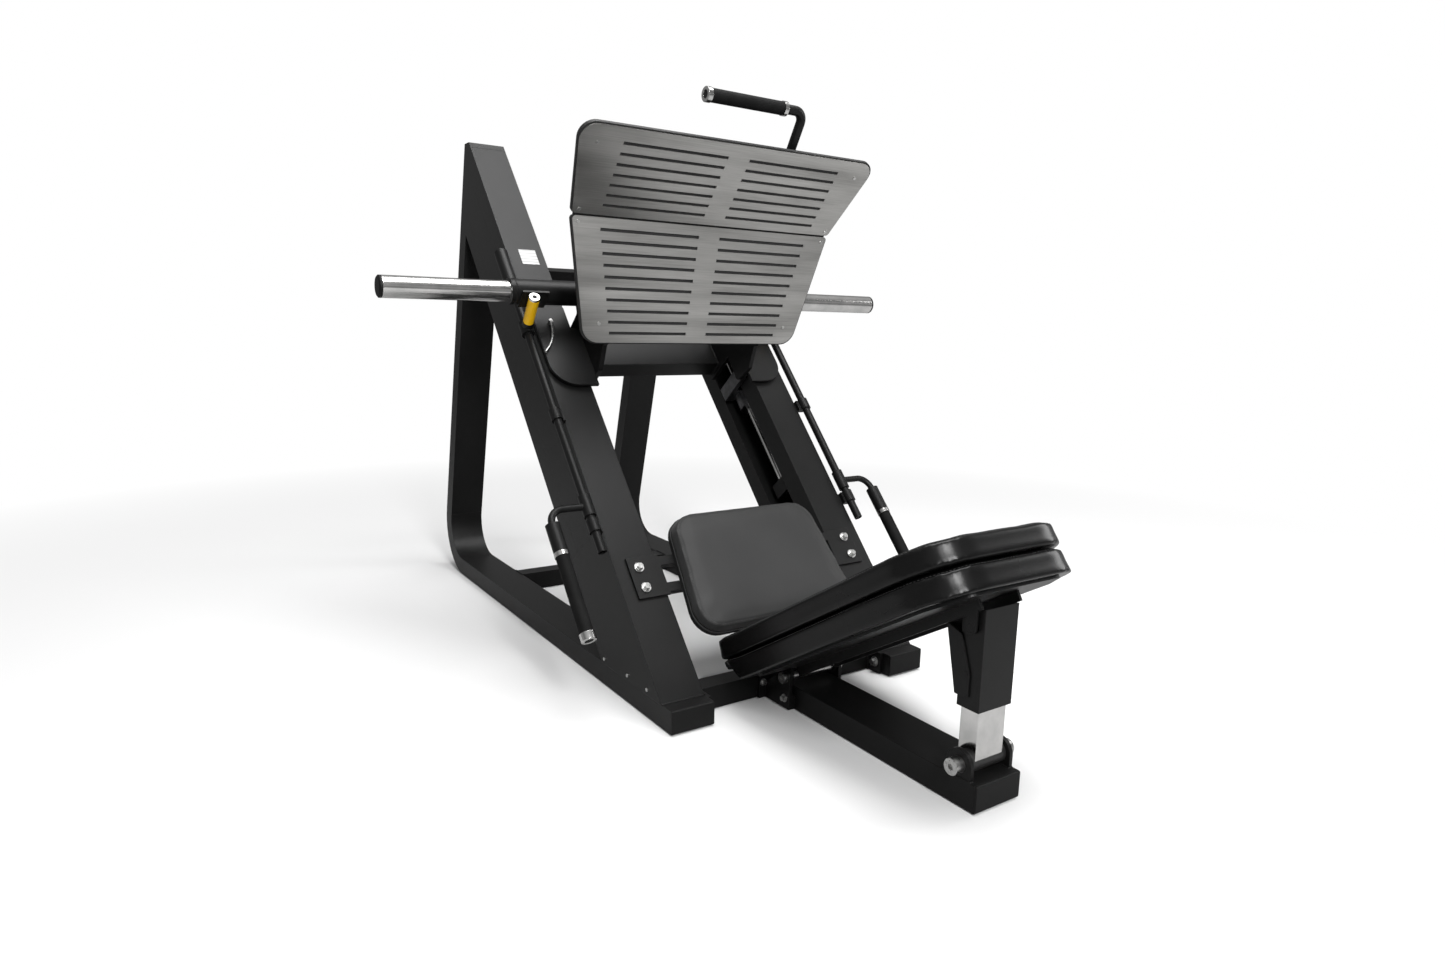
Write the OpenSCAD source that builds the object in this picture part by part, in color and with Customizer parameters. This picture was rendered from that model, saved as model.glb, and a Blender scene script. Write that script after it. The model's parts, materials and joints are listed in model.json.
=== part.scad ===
// Plate-loaded inclined leg press: two triangular side frames, a carriage with a foot plate that
// runs on shafts inside the inclined rails, two safety stops turned by side handles, a seat and an
// adjustable back rest on a telescopic post. Origin: centre of the footprint, on the floor. +Z up,
// +Y towards the tall rear posts, the user lies with the head towards -Y.

/* [Side frames] */
// Outside distance between the two side frames
frame_w = 692; // [660:2:760]
// Length of a side frame, from the front cap to the back of the rear bend
frame_len = 1469; // [1440:1:1500]
// Height of the rear posts
frame_h = 1290; // [1270:1:1310]
// Wide side of the frame tube
tube_w = 100; // [90:1:110]
// Narrow side of the frame tube
tube_t = 50; // [45:1:55]
// Outer radius of the rear bend
bend_r = 150; // [130:1:170]
// Rearward lean of the posts' feet, in degrees
post_lean = 14.45; // [13:0.05:16]
// Reach of the centre beam ahead of the side frames
front_reach = 517; // [500:1:540]
// Width of the centre beam
center_w = 112; // [108:1:116]
// Thickness of the rubber feet
foot_t = 3; // [2:0.5:6]

/* [Rails] */
// Angle of the rails to the floor, in degrees
rail_angle = 48.2; // [47:0.1:49]
// Where the front face of the rails meets the base beams
rail_start = 39.6; // [30:0.1:60]
// Depth of the rails, square to their front face
rail_d = 200; // [190:1:210]
// Diameter of the guide shafts
shaft_d = 30; // [25:1:35]

/* [Carriage] */
// Place of the weight axle along the rails
axle_s = 1020; // [1000:1:1040]
// Height of the weight axle over the rails' front face
axle_n = 92; // [85:1:100]
// Overall width over the weight sleeves
sleeve_span = 1443; // [1400:1:1500]
// Diameter of the weight sleeves
sleeve_d = 50; // [48:0.5:50]
// Half width of the foot plate at its bottom, fold and top edges
foot_half = [305, 362, 402]; // [250:1:420]

/* [Pads] */
// Tilt of the back pad, in degrees
pad_tilt = 31.2; // [28:0.1:33]
// Width of the back pad
pad_w = 390; // [340:2:400]
// Length of the back pad
pad_len = 704; // [690:1:715]
// Thickness of the back pad over both layers
pad_t = 98; // [90:1:100]
// Width of the seat pad at its top and bottom edges
seat_w = [398, 452]; // [380:2:460]

/* [Hidden] */

$fn = 48;
black = [0.06, 0.06, 0.065];
chrome = [0.8, 0.8, 0.82];
steel = [0.66, 0.66, 0.66];
vinyl = [0.12, 0.12, 0.125];
rubber = [0.03, 0.03, 0.03];
yellow = [0.95, 0.72, 0.05];
white = [0.9, 0.9, 0.9];

// Points of the side view (y, z) that lie s up the rails and n out of their front face.
function on_rail(s, n) = [rail_start + s * cos(rail_angle) - n * sin(rail_angle),
    beam_top + s * sin(rail_angle) + n * cos(rail_angle)];

half_w = frame_w / 2;
inner_x = half_w - tube_w;
floor_gap = foot_t;
beam_top = floor_gap + tube_t;
cap_t = 6;
sides = [-1, 1];
bend_y = frame_len - bend_r;
bend_z = floor_gap + bend_r;

// Rail layout: s runs up the rails, n stands out of their front face.
front_tube_t = 60;
rear_tube_t = 50;
web_t = 8;
shaft_x = 288;
shaft_n = -105;
shaft_from = 505;
shaft_to = 1545;
block_len = 40;
bearing_r = 31;
bearing_len = 90;
bearing_from = [795, 1062];
fit = 0.05;
side_gap = 16;
side_plate_t = 12;
side_x = inner_x - side_gap - side_plate_t;

// Safety rods, handles and stops
rod_x = half_w + 22;
rod_n = 10;
rod_r = 10;
arm_s = 466;
arm_reach = 92;
arm_r = 8;
arm_bend = 34;
grip_from = 176;
grip_to = 352;
socket_to = 430;
bumper_r = 13;
axle_r = 30;
stop_s = axle_s - axle_r - bumper_r - 1.6;
stop_splay = 6;
stop_reach = 108;

// Foot plate, in the side view (y, z)
foot_low = [500, 758];
foot_fold = [433, 1040];
foot_high = [297, 1207];
sheet_t = 2.5;

// Back rest and post, in the side view (y, z)
pad_corner = [110.4, 134.7];
pad_pivot = [-5, 70];
pad_layer_gap = 3;
post_foot = [-472, 76];
post_head = [-473, 321];
bar_in = 46.5;
bar_t = 5;

// Lengths below count from the front ends of the side frames; the origin is the footprint's centre.
pad_end = pad_corner[0] - pad_len * cos(pad_tilt) - pad_t * sin(pad_tilt);
mid_y = (frame_len + min(pad_end, -front_reach)) / 2;

// Places the machine's side frame origin on the floor's centre line.
module place() {
    translate([0, -mid_y, 0]) children();
}

// Extrudes a side view (y, z) along x, from x0 over a width w.
module side_view(x0, w) {
    translate([x0, 0, 0]) rotate([90, 0, 90]) linear_extrude(w) children();
}

// A pair of mirrored copies.
module both() {
    for (k = [0, 1]) mirror([k, 0, 0]) children();
}

// Side view of the rails: x is s and y is n.
module rail_2d() {
    translate([rail_start, beam_top]) rotate(rail_angle) children();
}

// Rail frame in space: x stays, z is s and -y is n.
module rail_3d() {
    translate([0, rail_start, beam_top]) rotate([rail_angle - 90, 0, 0]) children();
}

// Outline with rounded corners: every corner of pts is rounded with the radius in rs.
function unit(v) = v / norm(v);
function corner_arc(a, b, c, r, steps) =
    r <= 0 ? [b] :
    let (u = unit(a - b), w = unit(c - b), half = acos(u * w) / 2, mid = unit(u + w),
        centre = b + mid * r / sin(half), side = sign(cross(b - a, c - b)),
        from = atan2(-u[0] * side, u[1] * side) + 180, turn = (180 - 2 * half) * side)
    [for (i = [0:steps]) let (t = from + turn * i / steps) centre + r * [cos(t), sin(t)]];
module rounded(pts, rs, steps = 8) {
    n = len(pts);
    polygon([for (i = [0:n - 1])
        each corner_arc(pts[(i + n - 1) % n], pts[i], pts[(i + 1) % n], rs[i], steps)]);
}

// ---- Side frames ----

module base_beams() {
    color(black) place() both()
        translate([inner_x, cap_t, floor_gap]) cube([tube_w, bend_y - cap_t, tube_t]);
}

module rear_bends() {
    color(black) place() both() translate([inner_x, bend_y, bend_z]) rotate([90, 0, 90])
        rotate([0, 0, -90]) linear_extrude(tube_w) intersection() {
            difference() {
                circle(bend_r, $fn = 96);
                circle(bend_r - tube_t, $fn = 96);
            }
            polygon([[0, 0], [2 * bend_r, 0], [2 * bend_r, 2 * bend_r],
                2 * bend_r * [cos(90 + post_lean), sin(90 + post_lean)]]);
        }
}

// Side view of a rear post, from the bend up past its top.
module post_2d() {
    translate([bend_y, bend_z]) rotate(post_lean)
        translate([bend_r - tube_t, 0]) square([tube_t, frame_h]);
}

// Everything in the side view that lies behind the rails' front face and below the posts' tops.
module under_rail_2d() {
    intersection() {
        rail_2d() translate([-200, -2000]) square([3000, 2000]);
        translate([-500, beam_top]) square([2500, frame_h - beam_top]);
    }
}

module rear_posts() {
    color(black) place() both() side_view(inner_x, tube_w) intersection() {
        post_2d();
        under_rail_2d();
    }
}

// Side view of a strip of the rail between two depths, closed by the base and the post.
module rail_strip(near, far) {
    intersection() {
        rail_2d() translate([-300, -far]) square([2200, far - near]);
        under_rail_2d();
        translate([bend_y, bend_z]) rotate(post_lean)
            translate([bend_r - tube_t - 3000, -1000]) square([3000, 3000]);
    }
}

module rail_tubes() {
    color(black) place() both() side_view(inner_x, tube_w) {
        rail_strip(0, front_tube_t);
        rail_strip(rail_d - rear_tube_t, rail_d);
    }
}

module rail_webs() {
    color(black) place() both() side_view(half_w - web_t, web_t)
        rail_strip(front_tube_t, rail_d - rear_tube_t);
}

cover_t = 3;
cover_len = 430;

module side_covers() {
    color(black) place() both() side_view(half_w, cover_t) intersection() {
        rail_2d() translate([-300, -rail_d]) square([cover_len + 300, rail_d]);
        translate([-500, beam_top]) square([2500, frame_h]);
    }
}

module end_caps() {
    color(rubber) place() {
        both() side_view(inner_x, tube_w)
            rounded([[0, floor_gap], [cap_t, floor_gap], [cap_t, beam_top], [0, beam_top]],
                [4, 0, 0, 3], 4);
        side_view(-center_w / 2, center_w)
            rounded([[-front_reach, floor_gap], [cap_t - front_reach, floor_gap],
                [cap_t - front_reach, beam_top], [-front_reach, beam_top]], [4, 0, 0, 3], 4);
    }
}

foot_len = 60;

module feet() {
    color(rubber) place() {
        for (y = [12, bend_y - foot_len - 10]) both()
            translate([inner_x + 5, y, 0]) cube([tube_w - 10, foot_len, foot_t]);
        translate([-center_w / 2 + 5, 12 - front_reach, 0]) cube([center_w - 10, foot_len, foot_t]);
    }
}

cross_y = 66;
cross_rear_y = 1060;
cross_top_up = 753;
flange_t = 8;

module cross_beams() {
    color(black) place() {
        translate([flange_t - inner_x, cross_y, floor_gap])
            cube([2 * (inner_x - flange_t), tube_t, tube_t]);
        translate([-inner_x, cross_rear_y, floor_gap]) cube([2 * inner_x, tube_t, tube_t]);
        side_view(-inner_x, 2 * inner_x) translate([bend_y, bend_z]) rotate(post_lean)
            translate([bend_r - tube_t, cross_top_up]) square(tube_t);
    }
}

flange_wide = 34;

module flange_plates() {
    color(black) place() {
        both() translate([inner_x - flange_t, cross_y - 40, floor_gap])
            cube([flange_t, tube_t + 80, tube_t]);
        translate([-center_w / 2 - flange_wide, cross_y - flange_t, floor_gap])
            cube([center_w + 2 * flange_wide, flange_t, tube_t]);
    }
}

// Hexagon bolt head with a washer, standing along +z.
module bolt_head(r) {
    cylinder(h = 2, r = r * 1.5, $fn = 32);
    translate([0, 0, 2]) cylinder(h = r * 1.1, r = r, $fn = 6);
}

module frame_bolts() {
    color(chrome) place() both() {
        for (y = [98, 185, 295]) translate([half_w + cover_t, y, beam_top + 12])
            rotate([0, 90, 0]) cylinder(h = 2, r = 4, $fn = 24);
        for (y = [cross_y - 22, cross_y + tube_t + 22])
            translate([inner_x - flange_t, y, floor_gap + tube_t / 2]) rotate([0, -90, 0])
                bolt_head(8);
        translate([center_w / 2 + 25, cross_y - flange_t, floor_gap + 36])
            rotate([90, 0, 0]) bolt_head(5.5);
        translate([center_w / 2 + 16, -8, floor_gap + 22]) rotate([0, 90, 0]) bolt_head(6);
    }
}

module center_beam() {
    color(black) place() translate([-center_w / 2, cap_t - front_reach, floor_gap])
        cube([center_w, front_reach - cap_t + cross_y - flange_t, tube_t]);
}

// Bolts that the back rest and the post turn on
pad_bolt_r = 8;
post_bolt_r = 10;
post_ear_in = 46;
post_ear_t = 8;

module pivot_ears() {
    color(black) place() {
        both() translate([center_w / 2, -24, floor_gap]) cube([8, 82, 30]);
        both() side_view(center_w / 2 + 8, 8) difference() {
            rounded([[-24, floor_gap], [cross_y - flange_t, floor_gap], [cross_y - flange_t, 40],
                [4, 80], [-8, 86], [-24, 86]], [0, 0, 0, 0, 0, 8], 6);
            translate(pad_pivot) circle(pad_bolt_r);
        }
        both() side_view(post_ear_in, post_ear_t) difference() {
            rounded([[post_foot[0] - 28, beam_top], [post_foot[0] + 28, beam_top],
                post_foot + [28, 28], post_foot + [-28, 28]], [0, 0, 27.9, 27.9], 12);
            translate(post_foot) circle(post_bolt_r);
        }
    }
}

// A bolt along x through a pivot, with a round socket head at both ends.
module pivot_bolt(at, r, grip, head_r, head_t) {
    translate([0, at[0], at[1]]) rotate([0, 90, 0]) {
        translate([0, 0, -grip]) cylinder(h = 2 * grip, r = r);
        for (k = [0, 1]) mirror([0, 0, k]) translate([0, 0, grip]) difference() {
            cylinder(h = head_t, r = head_r);
            translate([0, 0, head_t - 6]) cylinder(h = 8, r = head_r * 0.4, $fn = 6);
        }
    }
}

module pivot_bolts() {
    color(chrome) place() {
        pivot_bolt(pad_pivot, pad_bolt_r, center_w / 2 + 16, 12, 8);
        pivot_bolt(post_foot, post_bolt_r, post_ear_in + post_ear_t, 15, 20);
    }
}

// ---- Guide shafts and what the rails carry ----

module guide_shafts() {
    color(chrome) place() rail_3d() both()
        translate([shaft_x, -shaft_n, shaft_from]) cylinder(h = shaft_to - shaft_from, r = shaft_d / 2);
}

module shaft_blocks() {
    color(black) place() rail_3d() both() for (s = [shaft_from, shaft_to - block_len])
        difference() {
            translate([s > shaft_from ? inner_x - 6 : shaft_x - 26, -shaft_n - 26, s])
                cube([half_w - web_t - (s > shaft_from ? inner_x - 6 : shaft_x - 26), 52, block_len]);
            translate([shaft_x, -shaft_n, s - 1]) cylinder(h = block_len + 2, r = shaft_d / 2);
        }
}

plate_t = 6;
bracket_s = [231, 330];
seat_arm_w = 22;
seat_plate_out = 318;

module seat_bracket() {
    color(black) place() rail_3d() {
        both() translate([inner_x - 6, -plate_t, bracket_s[0]])
            cube([seat_plate_out - inner_x + 6, plate_t, bracket_s[1] - bracket_s[0]]);
        for (s = [bracket_s[0] + 6, bracket_s[1] - seat_arm_w - 6])
            translate([6 - inner_x, -plate_t, s]) cube([2 * inner_x - 12, plate_t + 12, seat_arm_w]);
        both() translate([seat_w[0] / 2 - 34, -plate_t, bracket_s[0]])
            cube([24, plate_t, bracket_s[1] - bracket_s[0]]);
    }
}

module seat_bolts() {
    color(chrome) place() rail_3d() both() for (s = [255, 304])
        translate([294, -plate_t, s]) rotate([90, 0, 0]) bolt_head(7.5);
}

seat_s = [112, 410];
seat_board_t = 12;
seat_pad_t = 34;

// Outline of the seat in the rail plane: x and s.
module seat_outline(inset, r) {
    rounded([[-seat_w[1] / 2 + inset, seat_s[0] + inset], [seat_w[1] / 2 - inset, seat_s[0] + inset],
        [seat_w[0] / 2 - inset, seat_s[1] - inset], [-seat_w[0] / 2 + inset, seat_s[1] - inset]],
        [r, r, r, r]);
}

module seat_layer(n, t, inset, r) {
    rail_3d() translate([0, -n, 0]) rotate([90, 0, 0]) linear_extrude(t) seat_outline(inset, r);
}

module seat_board() {
    color(rubber) place() seat_layer(plate_t, seat_board_t, 4, 56);
}

module seat_pad() {
    color(vinyl) place() seat_layer(plate_t + seat_board_t, seat_pad_t, 0, 60);
}

bearing_out_r = 17;
bearing_up = [1112, 1228];
saddle_s = [400, 700];
saddle_len = 30;

module rod_bearings() {
    color(black) place() rail_3d() both() {
        difference() {
            union() {
                translate([rod_x, -rod_n, bearing_up[0]])
                    cylinder(h = bearing_up[1] - bearing_up[0], r = bearing_out_r);
                translate([half_w, -rod_n, bearing_up[0] + 10])
                    cube([rod_x - half_w, bearing_out_r, bearing_up[1] - bearing_up[0] - 20]);
            }
            translate([rod_x, -rod_n, bearing_up[0] - 1])
                cylinder(h = bearing_up[1] - bearing_up[0] + 2, r = rod_r + fit);
        }
        for (s = saddle_s) difference() {
            union() {
                translate([rod_x, -rod_n, s]) cylinder(h = saddle_len, r = rod_r + 4);
                translate([half_w, -rod_n, s]) cube([rod_x - half_w, rod_r + 4, saddle_len]);
            }
            translate([rod_x, -rod_n, s - 1]) cylinder(h = saddle_len + 2, r = rod_r + fit);
            if (s < cover_len) translate([half_w - 1, -50, s - 1])
                cube([cover_t + 1, 100, saddle_len + 2]);
        }
    }
}

module rating_plate() {
    color(white) place() rail_3d() translate([-312, -0.8, 1204]) cube([46, 0.8, 51]);
}

// ---- Carriage ----

// Directions up the lower and upper facets of the foot plate, and squarely out of their backs.
low_up = unit(foot_fold - foot_low);
high_up = unit(foot_high - foot_fold);
low_back = [low_up[1], -low_up[0]];
high_back = [high_up[1], -high_up[0]];
board_t = 8;

module carriage_sides() {
    color(black) place() both() side_view(side_x, side_plate_t) difference() {
        rounded([on_rail(916, -140), on_rail(1156, -140), on_rail(1156, -60), on_rail(1012, -52),
            on_rail(1012, 30), on_rail(1060, 50), on_rail(1078, 86), on_rail(1048, 128),
            foot_low + 190 * low_up + board_t * low_back, foot_low + 20 * low_up + board_t * low_back,
            on_rail(858, 89), on_rail(828, 31), on_rail(834, -33), on_rail(916, -25)],
            [12, 14, 10, 0, 10, 0, 24, 0, 0, 0, 0, 20, 12, 0], 6);
        translate(on_rail(axle_s, axle_n)) circle(axle_r);
    }
}

wing_s = [800, 976, 1048];
wing_t = 8;
wing_n = 5;

module carriage_wings() {
    color(black) place() rail_3d() both() translate([0, -wing_n, 0]) rotate([90, 0, 0])
        linear_extrude(wing_t)
            rounded([[side_x + side_plate_t, wing_s[0]], [half_w - 4, wing_s[0]],
                [half_w - 4, wing_s[2]], [inner_x + 6, wing_s[2]], [inner_x + 6, wing_s[1]],
                [side_x + side_plate_t, wing_s[1]]], [0, 66, 6, 6, 0, 0], 12);
}

beam_s = 930;
beam_n = [-125, -75];

module carriage_beam() {
    color(black) place() rail_3d() translate([-side_x, -beam_n[1], beam_s])
        cube([2 * side_x, beam_n[1] - beam_n[0], tube_w]);
}

// Bearing housings that run on the guide shafts. The upper pair bolts straight to the side plates;
// the lower pair hangs on a tab that passes inside the rail's front tube.
module linear_bearings() {
    plate_x = side_x + side_plate_t;
    color(steel) place() rail_3d() both() for (s = bearing_from) difference() {
        union() {
            translate([shaft_x, -shaft_n, s]) cylinder(h = bearing_len, r = bearing_r);
            translate([plate_x, -shaft_n - 24, s + 43])
                cube([shaft_x - plate_x, 48, bearing_len - 51]);
            if (s < axle_s) translate([plate_x, 12, s + 43])
                cube([inner_x - 2 - plate_x, -shaft_n, bearing_len - 51]);
        }
        translate([shaft_x, -shaft_n, s - 1]) cylinder(h = bearing_len + 2, r = shaft_d / 2 + fit);
    }
}

// Shapes on the weight axle: x stays, placed at the axle's centre.
module on_axle() {
    place() rail_3d() translate([0, -axle_n, axle_s]) children();
}

module x_cylinder(x0, x1, r) {
    translate([x0, 0, 0]) rotate([0, 90, 0]) cylinder(h = x1 - x0, r = r);
}

collar_x = 412;
collar_t = 12;
plug_t = 8;

line_r = 3;
line_bend = 135;
line_turn = 45.8;
line_s = 992;

// Grease nipple on the left wing, with its bent line down to the safety rod.
module grease_line() {
    color(chrome) place() rail_3d() translate([-304, -wing_n - wing_t, line_s]) {
        rotate([90, 0, 0]) cylinder(h = 12, r = 5.5);
        translate([-line_bend, -12 + line_r, 0]) rotate([90, 0, 0]) rotate([180, 0, 0])
            rotate_extrude(angle = line_turn) translate([line_bend, 0]) circle(line_r);
    }
}

// Plates under the axle that come to rest on the safety stops.
module rest_plates() {
    color(black) place() rail_3d() both() difference() {
        translate([338, -124, axle_s - axle_r - 0.8]) cube([66, 52, 6]);
        translate([0, -axle_n, axle_s]) x_cylinder(300, 420, axle_r);
    }
}

module axle_tube() {
    color(black) on_axle() x_cylinder(-collar_x, collar_x, axle_r);
}

module sleeve_collars() {
    color(black) on_axle() both() x_cylinder(collar_x, collar_x + collar_t, axle_r + 1);
}

module weight_sleeves() {
    color(chrome) on_axle() both()
        x_cylinder(collar_x + collar_t, sleeve_span / 2 - plug_t, sleeve_d / 2);
}

module sleeve_plugs() {
    color(rubber) on_axle() both() translate([sleeve_span / 2 - plug_t, 0, 0]) rotate([0, 90, 0]) {
        cylinder(h = plug_t - 3, r = sleeve_d / 2);
        translate([0, 0, plug_t - 3]) cylinder(h = 3, r1 = sleeve_d / 2, r2 = sleeve_d / 2 - 4);
    }
}

// ---- Foot plate ----

// Frame of a facet: x stays, y runs up the facet, z stands out of it towards the user.
module facet(from, to) {
    up = atan2(to[1] - from[1], to[0] - from[0]);
    translate([0, from[0], from[1]]) rotate([up, 0, 0]) children();
}
function facet_len(from, to) = norm(to - from);
low_len = facet_len(foot_low, foot_fold);
high_len = facet_len(foot_fold, foot_high);
fold_gap = 3;

// Outline of a facet. The sheet is inset from the board behind it.
module low_outline(inset) {
    rounded([[-foot_half[0] + inset, inset], [foot_half[0] - inset, inset],
        [foot_half[1] - inset, low_len - fold_gap], [-foot_half[1] + inset, low_len - fold_gap]],
        [44, 44, 8, 8]);
}

module high_outline(inset) {
    rounded([[-foot_half[1] + inset, fold_gap], [foot_half[1] - inset, fold_gap],
        [foot_half[2] - inset, high_len - inset], [-foot_half[2] + inset, high_len - inset]],
        [8, 8, 36, 36]);
}

module slot_rows(rows, first, pitch, wide_low, wide_high) {
    slot_h = 7;
    web = 29;
    for (i = [0:rows - 1]) {
        reach = wide_low + (wide_high - wide_low) * i / (rows - 1);
        for (k = sides) translate([k > 0 ? web : -reach, first + pitch * i - slot_h / 2])
            square([reach - web, slot_h]);
    }
}

module foot_boards() {
    color(black) place() {
        facet(foot_low, foot_fold) translate([0, 0, -board_t]) linear_extrude(board_t) low_outline(0);
        facet(foot_fold, foot_high) translate([0, 0, -board_t]) linear_extrude(board_t)
            high_outline(0);
        side_view(-foot_half[1] + 8, 2 * foot_half[1] - 16) polygon([
            foot_fold - fold_gap * low_up + 3 * low_back,
            foot_fold - fold_gap * low_up + board_t * low_back,
            foot_fold + fold_gap * high_up + board_t * high_back,
            foot_fold + fold_gap * high_up + 3 * high_back]);
    }
}

module foot_sheet_lower() {
    color(steel) place() facet(foot_low, foot_fold) linear_extrude(sheet_t) difference() {
        low_outline(3);
        slot_rows(10, 26, 26.1, 240, 288);
    }
}

module foot_sheet_upper() {
    color(steel) place() facet(foot_fold, foot_high) linear_extrude(sheet_t) difference() {
        high_outline(3);
        slot_rows(7, 28, 25, 294, 292);
    }
}

module foot_screws() {
    color(chrome) place() {
        facet(foot_low, foot_fold) for (k = sides) {
            translate([k * 268, 48, sheet_t]) cylinder(h = 1.6, r = 4, $fn = 20);
            translate([k * 344, 274, sheet_t]) cylinder(h = 1.6, r = 4, $fn = 20);
        }
        facet(foot_fold, foot_high) for (k = sides) {
            translate([k * 346, 14, sheet_t]) cylinder(h = 1.6, r = 4, $fn = 20);
            translate([k * 350, 172, sheet_t]) cylinder(h = 1.6, r = 4, $fn = 20);
        }
    }
}

strut_t = 40;
strut_x = 170;
strut_d = 50;

module foot_strut(k) {
    deep = board_t + strut_d;
    side_view(k * strut_x - strut_t / 2, strut_t) {
        polygon([foot_low + 40 * low_up + board_t * low_back, foot_low + 40 * low_up + deep * low_back,
            foot_fold + deep * unit(low_back + high_back), foot_high - 30 * high_up + deep * high_back,
            foot_high - 30 * high_up + board_t * high_back,
            foot_fold + 8.3 * unit(low_back + high_back)]);
        difference() {
            polygon([foot_low + 60 * low_up + (deep - 5) * low_back, on_rail(985, 92),
                on_rail(1020, 128), foot_low + 170 * low_up + (deep - 5) * low_back]);
            translate(on_rail(axle_s, axle_n)) circle(axle_r);
        }
    }
}

// Two upright tubes behind the foot plate, each braced to the axle.
module foot_struts() {
    color(black) place() for (k = sides) foot_strut(k);
}

// Push handle over the foot plate: its tube rises behind the plate and turns over to the left.
handle_y = [362, 300];
handle_z = [1190, 1297];
handle_x = 166;
handle_r = 11;
handle_bend = 26;
handle_grip_x = [-104, 112];

module handle_tube() {
    rise = norm([handle_y[1] - handle_y[0], handle_z[1] - handle_z[0]]);
    color(black) place() difference() {
        translate([handle_x, handle_y[1], handle_z[1]])
            rotate([atan2(handle_y[0] - handle_y[1], handle_z[1] - handle_z[0]), 0, 0]) {
                translate([0, 0, -rise]) cylinder(h = rise - handle_bend, r = handle_r);
                translate([-handle_bend, 0, -handle_bend]) rotate([90, 0, 0])
                    rotate_extrude(angle = 90) translate([handle_bend, 0]) circle(handle_r);
                translate([-handle_bend, 0, 0]) rotate([0, -90, 0])
                    cylinder(h = handle_x - handle_bend - handle_grip_x[1], r = handle_r);
            }
        foot_strut(1);
    }
}

grip_r = 15;
ring_t = 10;

module on_handle(x0, x1, r) {
    place() translate([0, handle_y[1], handle_z[1]]) x_cylinder(x0, x1, r);
}

module handle_grip() {
    color(rubber) on_handle(handle_grip_x[0] + ring_t, handle_grip_x[1] - ring_t, grip_r);
}

module handle_rings() {
    color(chrome) {
        on_handle(handle_grip_x[0], handle_grip_x[0] + ring_t, grip_r + 1.5);
        on_handle(handle_grip_x[1] - ring_t, handle_grip_x[1], grip_r + 1.5);
    }
}

// ---- Safety rods with their handles and stops; k is -1 on the left and 1 on the right ----

module on_side(k) {
    place() rail_3d() mirror([k < 0 ? 1 : 0, 0, 0]) children();
}

rod_from = 350;
rod_to = 1236;
arm_hub_r = 14;

module safety_rod(k) {
    color(black) on_side(k) translate([rod_x, -rod_n, rod_from]) difference() {
        cylinder(h = rod_to - rod_from, r = rod_r);
        translate([0, 0, -1]) cylinder(h = 30, r = rod_r - 3);
    }
}

module safety_arm(k) {
    color(black) on_side(k) translate([rod_x, -rod_n, 0]) {
        difference() {
            union() {
                translate([0, 0, arm_s - 26]) cylinder(h = 52, r = arm_hub_r);
                translate([0, 0, arm_s]) rotate([0, 90, 0])
                    cylinder(h = arm_reach - arm_bend, r = arm_r);
            }
            translate([0, 0, arm_s - 27]) cylinder(h = 54, r = rod_r);
        }
        translate([arm_reach - arm_bend, 0, arm_s - arm_bend]) rotate([90, 0, 0])
            rotate_extrude(angle = 90) translate([arm_bend, 0]) circle(arm_r);
        translate([arm_reach, 0, grip_to + ring_t])
            cylinder(h = socket_to - grip_to - ring_t, r = grip_r + 1);
        translate([arm_reach, 0, socket_to - 1])
            cylinder(h = arm_s - arm_bend - socket_to + 1, r = arm_r);
    }
}

module safety_grip(k) {
    color(rubber) on_side(k) translate([rod_x + arm_reach, -rod_n, grip_from])
        cylinder(h = grip_to - grip_from, r = grip_r);
}

module safety_rings(k) {
    color(chrome) on_side(k) {
        for (s = [grip_from - 16, grip_to]) translate([rod_x + arm_reach, -rod_n, s])
            cylinder(h = s < grip_to ? 16 : ring_t, r = grip_r + 1.5);
        stop_frame() translate([0, 0, stop_reach]) cylinder(h = 5, r = bumper_r);
    }
}

// The stop's own frame: z stands out of the rail's face, splayed outwards.
module stop_frame() {
    translate([rod_x, -rod_n, stop_s]) rotate([90, 0, 0]) rotate([0, stop_splay, 0]) children();
}

module safety_stop(k) {
    color(black) on_side(k) {
        difference() {
            translate([rod_x, -rod_n, stop_s - 18]) cylinder(h = 36, r = arm_hub_r + 2);
            translate([rod_x, -rod_n, stop_s - 19]) cylinder(h = 38, r = rod_r);
        }
        stop_frame() translate([0, 0, arm_hub_r]) cylinder(h = 14, r = bumper_r + 1);
    }
}

module safety_bumper(k) {
    color(yellow) on_side(k) stop_frame() translate([0, 0, arm_hub_r + 14])
        cylinder(h = stop_reach - arm_hub_r - 14, r = bumper_r);
}

module left_rod() safety_rod(-1);
module left_arm() safety_arm(-1);
module left_grip() safety_grip(-1);
module left_rings() safety_rings(-1);
module left_stop() safety_stop(-1);
module left_bumper() safety_bumper(-1);
module right_rod() safety_rod(1);
module right_arm() safety_arm(1);
module right_grip() safety_grip(1);
module right_rings() safety_rings(1);
module right_stop() safety_stop(1);
module right_bumper() safety_bumper(1);

// ---- Back rest ----

// Frame of the back pad: x stays, y runs to the head end, z stands out of the top face.
module pad_3d() {
    place() translate([0, pad_corner[0], pad_corner[1]]) rotate([0, 0, 180])
        rotate([pad_tilt, 0, 0]) children();
}

layer_t = (pad_t - pad_layer_gap) / 2;

module pad_outline(inset) {
    w = pad_w / 2 - inset;
    rounded([[-w, inset], [w, inset], [w, pad_len - inset], [-w, pad_len - inset]],
        [36, 36, 110 - inset, 110 - inset], 12);
}

module back_pad_top() {
    color(vinyl) pad_3d() translate([0, 0, -layer_t]) linear_extrude(layer_t) pad_outline(0);
}

pad_chamfer = 22;

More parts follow.
